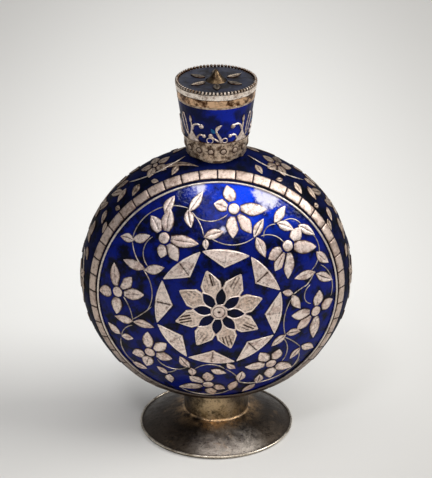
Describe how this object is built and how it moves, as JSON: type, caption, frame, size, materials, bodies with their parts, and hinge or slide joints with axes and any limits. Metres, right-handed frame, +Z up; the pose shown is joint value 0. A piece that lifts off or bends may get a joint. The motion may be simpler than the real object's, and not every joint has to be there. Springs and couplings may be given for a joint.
{
  "type": "rosewater sprinkler",
  "caption": "Moon-shaped silver flask with blue enamel and a floral silver pattern, on a spreading round foot, with a tapered screw cap over a pierced sprinkler neck.",
  "frame": {"origin": "middle of the foot's underside, on the surface it stands on", "axes": "+Z up, the front face looks along -Y, +X to the right seen from the front"},
  "size_m": [0.0866, 0.056, 0.1233],
  "materials": {
    "blue_enamel": "glossy translucent cobalt enamel, fired over silver",
    "chased_silver": "satin chased silver, warm with tarnish in the lines",
    "cap_silver": "polished silver, worn and slightly tarnished",
    "plain_silver": "plain hammered silver sheet",
    "oxidised_silver": "dark oxidised silver with brown and gold wear",
    "worn_silver": "bright worn wire",
    "copper_band": "coppery tarnish on a silver band",
    "cork": "bare cork"
  },
  "bodies": {
    "flask": {"back_enamel": "blue_enamel", "back_flower_eyes": "chased_silver", "back_flower_petals": "chased_silver", "back_leaves": "chased_silver", "back_ring_tiles": "chased_silver", "back_rosette_hub": "chased_silver", "back_rosette_petals": "chased_silver", "back_rosette_wires": "chased_silver", "back_seam_wire": "chased_silver", "back_shell": "plain_silver", "back_star_segments": "chased_silver", "back_vines": "chased_silver", "foot": "oxidised_silver", "foot_rim_wire": "worn_silver", "front_enamel": "blue_enamel", "front_flower_eyes": "chased_silver", "front_flower_petals": "chased_silver", "front_leaves": "chased_silver", "front_ring_tiles": "chased_silver", "front_rosette_hub": "chased_silver", "front_rosette_petals": "chased_silver", "front_rosette_wires": "chased_silver", "front_seam_wire": "chased_silver", "front_shell": "plain_silver", "front_star_segments": "chased_silver", "front_vines": "chased_silver", "neck_collar": "plain_silver", "neck_thread": "plain_silver", "neck_tube": "plain_silver", "side_band": "plain_silver", "side_enamel": "blue_enamel", "side_leaves": "chased_silver", "side_petals": "chased_silver", "side_vines": "chased_silver", "sprinkler_plate": "plain_silver", "stem": "oxidised_silver"},
    "cap_liner": {"cap_cork": "cork"},
    "cap": {"cap_base_band": "cap_silver", "cap_bead_edge": "cap_silver", "cap_bosses": "cap_silver", "cap_finial": "cap_silver", "cap_lower_band": "copper_band", "cap_rim_band": "cap_silver", "cap_side_enamel": "blue_enamel", "cap_sleeve": "plain_silver", "cap_sprays": "chased_silver", "cap_thread": "plain_silver", "cap_top_enamel": "blue_enamel", "cap_top_petals": "cap_silver", "cap_top_plate": "cap_silver", "cap_wall": "plain_silver", "cap_wire_band": "cap_silver"}
  },
  "joints": [
    {"name": "cap_lift", "type": "slide", "parent": "flask", "child": "cap_liner", "axis": [0, 0, 1], "range_m": [0, 0.0135]},
    {"name": "cap_turn", "type": "hinge", "parent": "cap_liner", "child": "cap", "pos_m": [0, 0, 0.1], "axis": [0, 0, 1], "range_deg": [0, 1640]}
  ],
  "couplings": [
    {"joint": "cap_turn", "follows": "cap_lift", "rad_per_m": 2094.4}
  ]
}
